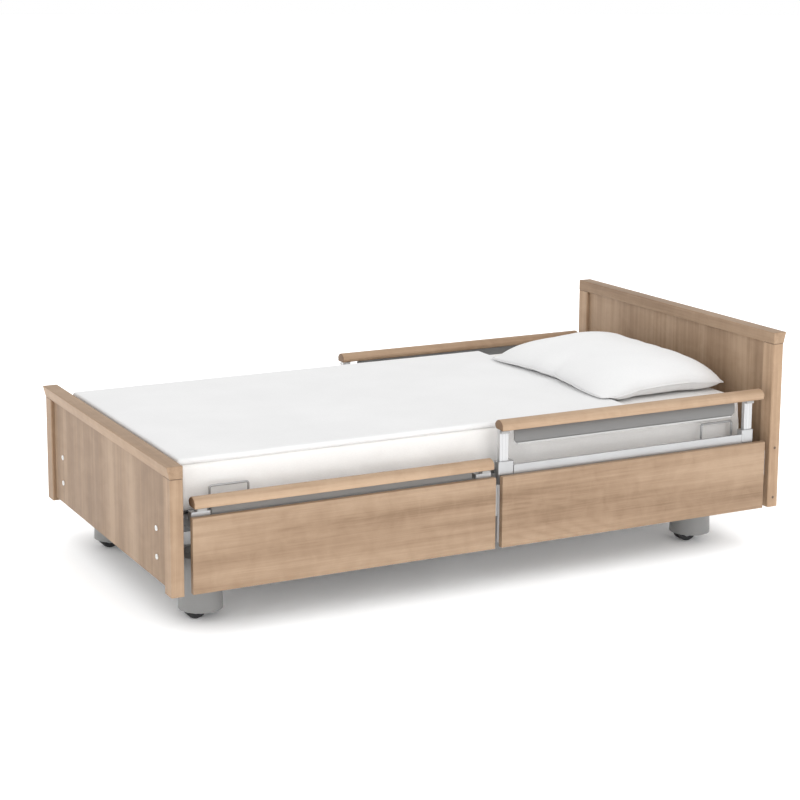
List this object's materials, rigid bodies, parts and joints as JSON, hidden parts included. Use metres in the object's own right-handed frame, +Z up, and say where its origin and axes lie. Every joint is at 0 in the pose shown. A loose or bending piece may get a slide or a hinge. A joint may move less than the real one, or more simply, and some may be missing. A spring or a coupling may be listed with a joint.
{
  "type": "adjustable hospital bed",
  "caption": "Low care bed with wooden end boards and side panels, telescopic side guards, a tilting backrest and knee section, and lifting columns on castors.",
  "frame": {"origin": "on the floor below the middle of the bed", "axes": "+X towards the head end, +Y towards the lying person's right, +Z up"},
  "size_m": [2.1586, 1.16, 0.724],
  "materials": {
    "wood_laminate": "satin laminate",
    "satin_aluminium": "satin",
    "guard_blade_paint": "satin",
    "frame_paint": "powder coat",
    "castor_cover_plastic": "satin",
    "drive_housing_plastic": "matte",
    "castor_tyre": "matte",
    "bright_rod": "polished",
    "screw_cap_plastic": "satin",
    "mattress_fabric": "woven cotton",
    "pillow_fabric": "woven cotton",
    "hoop_wire": "satin"
  },
  "bodies": {
    "chassis": {"chassis_frame": "frame_paint", "castor_covers": "castor_cover_plastic", "column_outer_tubes": "satin_aluminium"},
    "column_middle": {"column_middle_tubes": "satin_aluminium"},
    "lying_frame": {"lying_frame_tubes": "frame_paint", "column_inner_tubes": "satin_aluminium", "footboard_panel": "wood_laminate", "footboard_posts": "wood_laminate", "footboard_cap": "wood_laminate", "headboard_panel": "wood_laminate", "headboard_posts": "wood_laminate", "headboard_cap": "wood_laminate", "board_screws": "screw_cap_plastic", "board_brackets": "satin_aluminium", "side_panel_foot_left": "wood_laminate", "side_panel_foot_right": "wood_laminate", "side_panel_head_left": "wood_laminate", "side_panel_head_right": "wood_laminate", "guard_guides": "satin_aluminium", "pole_sockets": "frame_paint", "seat_platform": "frame_paint", "drive_motors": "drive_housing_plastic", "control_box": "drive_housing_plastic", "mattress_seat": "mattress_fabric"},
    "backrest": {"backrest_platform": "frame_paint", "backrest_hoops": "hoop_wire", "mattress_back": "mattress_fabric", "pillow": "pillow_fabric"},
    "thigh": {"thigh_platform": "frame_paint", "mattress_thigh": "mattress_fabric"},
    "calf": {"calf_platform": "frame_paint", "calf_hoops": "hoop_wire", "mattress_calf": "mattress_fabric"},
    "backrest_rod": {"backrest_rod": "bright_rod"},
    "thigh_rod": {"thigh_rod": "bright_rod"},
    "carriage_foot_left": {"guard_carriage_foot_left": "satin_aluminium"},
    "guard_foot_left": {"guard_rail_foot_left": "wood_laminate", "guard_blade_foot_left": "guard_blade_paint"},
    "release_foot_left": {"guard_release_foot_left": "drive_housing_plastic"},
    "castor_foot_left": {"castor_fork_foot_left": "frame_paint"},
    "wheels_foot_left": {"castor_wheels_foot_left": "castor_tyre"},
    "carriage_foot_right": {"guard_carriage_foot_right": "satin_aluminium"},
    "guard_foot_right": {"guard_rail_foot_right": "wood_laminate", "guard_blade_foot_right": "guard_blade_paint"},
    "release_foot_right": {"guard_release_foot_right": "drive_housing_plastic"},
    "castor_foot_right": {"castor_fork_foot_right": "frame_paint"},
    "wheels_foot_right": {"castor_wheels_foot_right": "castor_tyre"},
    "carriage_head_left": {"guard_carriage_head_left": "satin_aluminium"},
    "guard_head_left": {"guard_rail_head_left": "wood_laminate", "guard_blade_head_left": "guard_blade_paint"},
    "release_head_left": {"guard_release_head_left": "drive_housing_plastic"},
    "castor_head_left": {"castor_fork_head_left": "frame_paint"},
    "wheels_head_left": {"castor_wheels_head_left": "castor_tyre"},
    "carriage_head_right": {"guard_carriage_head_right": "satin_aluminium"},
    "guard_head_right": {"guard_rail_head_right": "wood_laminate", "guard_blade_head_right": "guard_blade_paint"},
    "release_head_right": {"guard_release_head_right": "drive_housing_plastic"},
    "castor_head_right": {"castor_fork_head_right": "frame_paint"},
    "wheels_head_right": {"castor_wheels_head_right": "castor_tyre"}
  },
  "joints": [
    {"name": "bed_height", "type": "slide", "parent": "chassis", "child": "lying_frame", "axis": [0, 0, 1], "range_m": [0, 0.36]},
    {"name": "column_middle_slide", "type": "slide", "parent": "chassis", "child": "column_middle", "axis": [0, 0, 1], "range_m": [0, 0.18]},
    {"name": "backrest_tilt", "type": "hinge", "parent": "lying_frame", "child": "backrest", "pos_m": [0.2, 0, 0.35], "axis": [0, -1, 0], "range_deg": [0, 70]},
    {"name": "backrest_rod_slide", "type": "slide", "parent": "lying_frame", "child": "backrest_rod", "axis": [1, 0, 0], "range_m": [0, 0.115]},
    {"name": "thigh_tilt", "type": "hinge", "parent": "lying_frame", "child": "thigh", "pos_m": [-0.005, 0, 0.35], "axis": [0, 1, 0], "range_deg": [0, 35]},
    {"name": "thigh_rod_slide", "type": "slide", "parent": "lying_frame", "child": "thigh_rod", "axis": [-1, 0, 0], "range_m": [0, 0.0518]},
    {"name": "calf_tilt", "type": "hinge", "parent": "thigh", "child": "calf", "pos_m": [-0.335, 0, 0.35], "axis": [0, 1, 0], "range_deg": [-51.1, 0]},
    {"name": "guard_carriage_slide_foot_left", "type": "slide", "parent": "lying_frame", "child": "carriage_foot_left", "axis": [0, 0, 1], "range_m": [0, 0.15]},
    {"name": "guard_rail_slide_foot_left", "type": "slide", "parent": "carriage_foot_left", "child": "guard_foot_left", "axis": [0, 0, 1], "range_m": [0, 0.15]},
    {"name": "guard_release_press_foot_left", "type": "slide", "parent": "guard_foot_left", "child": "release_foot_left", "axis": [0, 0, 1], "range_m": [0, 0.003], "stiffness_N_per_m": 300, "springref_m": -0.004},
    {"name": "castor_swivel_foot_left", "type": "hinge", "parent": "chassis", "child": "castor_foot_left", "pos_m": [-0.906, -0.386, 0.11], "axis": [0, 0, 1], "continuous": true},
    {"name": "castor_roll_foot_left", "type": "hinge", "parent": "castor_foot_left", "child": "wheels_foot_left", "pos_m": [-0.926, -0.386, 0.035], "axis": [0, 1, 0], "continuous": true},
    {"name": "guard_carriage_slide_foot_right", "type": "slide", "parent": "lying_frame", "child": "carriage_foot_right", "axis": [0, 0, 1], "range_m": [0, 0.15]},
    {"name": "guard_rail_slide_foot_right", "type": "slide", "parent": "carriage_foot_right", "child": "guard_foot_right", "axis": [0, 0, 1], "range_m": [0, 0.15]},
    {"name": "guard_release_press_foot_right", "type": "slide", "parent": "guard_foot_right", "child": "release_foot_right", "axis": [0, 0, 1], "range_m": [0, 0.003], "stiffness_N_per_m": 300, "springref_m": -0.004},
    {"name": "castor_swivel_foot_right", "type": "hinge", "parent": "chassis", "child": "castor_foot_right", "pos_m": [-0.906, 0.386, 0.11], "axis": [0, 0, 1], "continuous": true},
    {"name": "castor_roll_foot_right", "type": "hinge", "parent": "castor_foot_right", "child": "wheels_foot_right", "pos_m": [-0.926, 0.386, 0.035], "axis": [0, 1, 0], "continuous": true},
    {"name": "guard_carriage_slide_head_left", "type": "slide", "parent": "lying_frame", "child": "carriage_head_left", "axis": [0, 0, 1], "range_m": [-0.029, 0.121]},
    {"name": "guard_rail_slide_head_left", "type": "slide", "parent": "carriage_head_left", "child": "guard_head_left", "axis": [0, 0, 1], "range_m": [-0.088, 0.062]},
    {"name": "guard_release_press_head_left", "type": "slide", "parent": "guard_head_left", "child": "release_head_left", "axis": [0, 0, 1], "range_m": [0, 0.003], "stiffness_N_per_m": 300, "springref_m": -0.004},
    {"name": "castor_swivel_head_left", "type": "hinge", "parent": "chassis", "child": "castor_head_left", "pos_m": [0.861, -0.386, 0.11], "axis": [0, 0, 1], "continuous": true},
    {"name": "castor_roll_head_left", "type": "hinge", "parent": "castor_head_left", "child": "wheels_head_left", "pos_m": [0.841, -0.386, 0.035], "axis": [0, 1, 0], "continuous": true},
    {"name": "guard_carriage_slide_head_right", "type": "slide", "parent": "lying_frame", "child": "carriage_head_right", "axis": [0, 0, 1], "range_m": [-0.029, 0.121]},
    {"name": "guard_rail_slide_head_right", "type": "slide", "parent": "carriage_head_right", "child": "guard_head_right", "axis": [0, 0, 1], "range_m": [-0.088, 0.062]},
    {"name": "guard_release_press_head_right", "type": "slide", "parent": "guard_head_right", "child": "release_head_right", "axis": [0, 0, 1], "range_m": [0, 0.003], "stiffness_N_per_m": 300, "springref_m": -0.004},
    {"name": "castor_swivel_head_right", "type": "hinge", "parent": "chassis", "child": "castor_head_right", "pos_m": [0.861, 0.386, 0.11], "axis": [0, 0, 1], "continuous": true},
    {"name": "castor_roll_head_right", "type": "hinge", "parent": "castor_head_right", "child": "wheels_head_right", "pos_m": [0.841, 0.386, 0.035], "axis": [0, 1, 0], "continuous": true}
  ],
  "couplings": [
    {"joint": "column_middle_slide", "follows": "bed_height", "ratio": 0.5},
    {"joint": "backrest_rod_slide", "follows": "backrest_tilt", "m_per_rad": 0.093993},
    {"joint": "thigh_rod_slide", "follows": "thigh_tilt", "m_per_rad": 0.084649},
    {"joint": "calf_tilt", "follows": "thigh_tilt", "ratio": -1.457}
  ]
}
